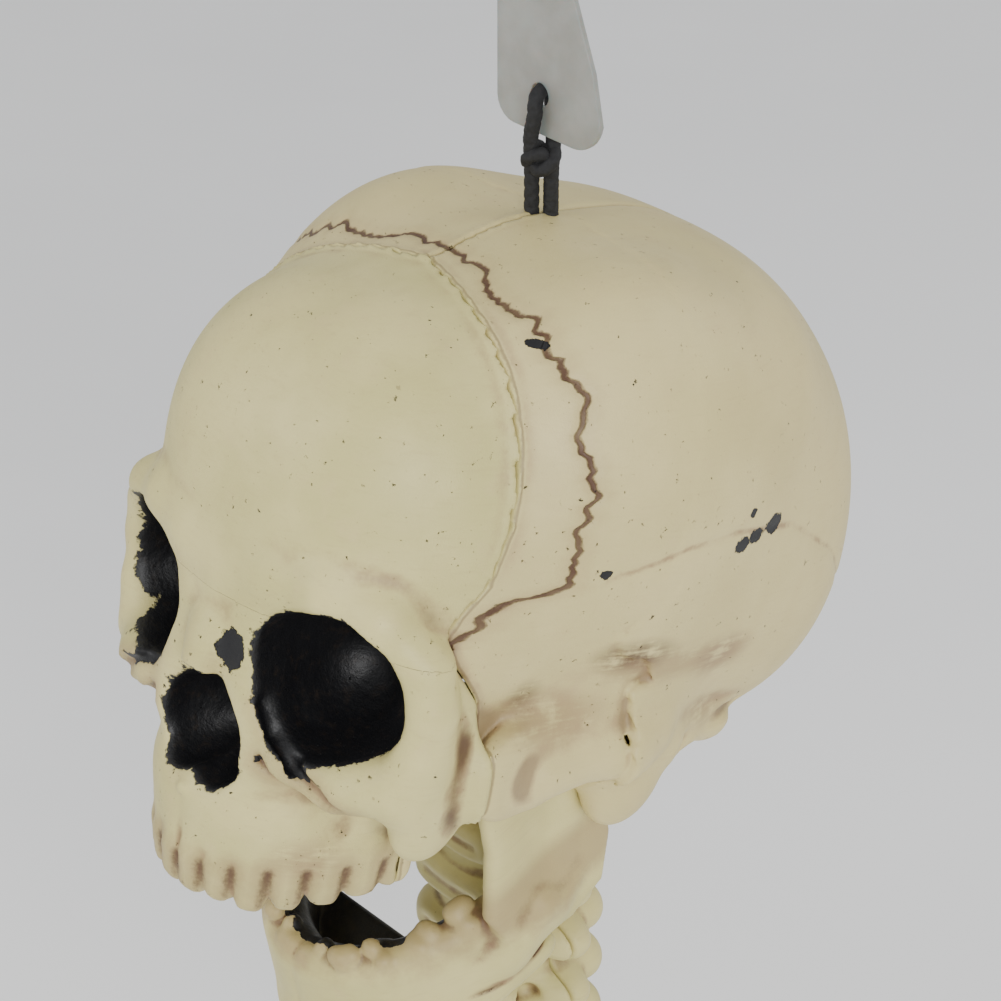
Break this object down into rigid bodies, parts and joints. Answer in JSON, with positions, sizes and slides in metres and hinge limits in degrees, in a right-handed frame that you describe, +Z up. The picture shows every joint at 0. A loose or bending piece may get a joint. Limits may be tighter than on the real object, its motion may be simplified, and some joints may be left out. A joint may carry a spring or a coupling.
{
  "type": "hanging skeleton head",
  "caption": "Life-size plastic skeleton head and neck: hollow skull, hinged open jaw, nodding and turning neck, hung by a cord loop and tab.",
  "frame": {"origin": "middle of the top hole of the hanging tab, where a hook or nail carries the head", "axes": "+Z up; the face looks along -Y; +X is the skeleton's left"},
  "size_m": [0.14, 0.22, 0.3575],
  "materials": {
    "bone_plastic": "satin ivory moulding with brown wash in the recesses and black paint in the sockets",
    "dark_nylon": "moulded, dark grey",
    "steel": "zinc plated",
    "cord": "black braided cord",
    "frosted_tab": "grey translucent plastic"
  },
  "bodies": {
    "hanger": {"hang_tab": "frosted_tab"},
    "head": {"face_shell": "bone_plastic", "cranium_left_shell": "bone_plastic", "cranium_right_shell": "bone_plastic", "jaw_screw_left": "steel", "jaw_screw_right": "steel", "jaw_washer_left": "dark_nylon", "jaw_washer_right": "dark_nylon", "nod_yoke": "dark_nylon", "nod_pin": "steel", "hanging_cord": "cord", "cord_knot": "cord", "cord_stop_knot": "cord", "cord_washer": "dark_nylon"},
    "lower_jaw": {"jaw": "bone_plastic"},
    "swivel": {"neck_swivel_post": "dark_nylon"},
    "neck": {"neck_base_plug": "dark_nylon", "neck_front_shell": "bone_plastic", "neck_rear_shell": "bone_plastic", "neck_screw_lower": "steel", "neck_screw_upper": "steel"}
  },
  "joints": [
    {"name": "hang_swing", "type": "hinge", "parent": "hanger", "child": "head", "pos_m": [0, 0, -0.046], "axis": [0, 1, 0], "range_deg": [-20, 20]},
    {"name": "jaw_open", "type": "hinge", "parent": "head", "child": "lower_jaw", "pos_m": [0, -0.03496, -0.20174], "axis": [1, 0, 0], "range_deg": [-29, 3]},
    {"name": "head_nod", "type": "hinge", "parent": "head", "child": "swivel", "pos_m": [0, -0.01195, -0.20646], "axis": [1, 0, 0], "range_deg": [-10, 15]},
    {"name": "head_turn", "type": "hinge", "parent": "swivel", "child": "neck", "pos_m": [0, -0.01195, -0.23246], "axis": [0, 0, 1], "range_deg": [-40, 40]}
  ]
}
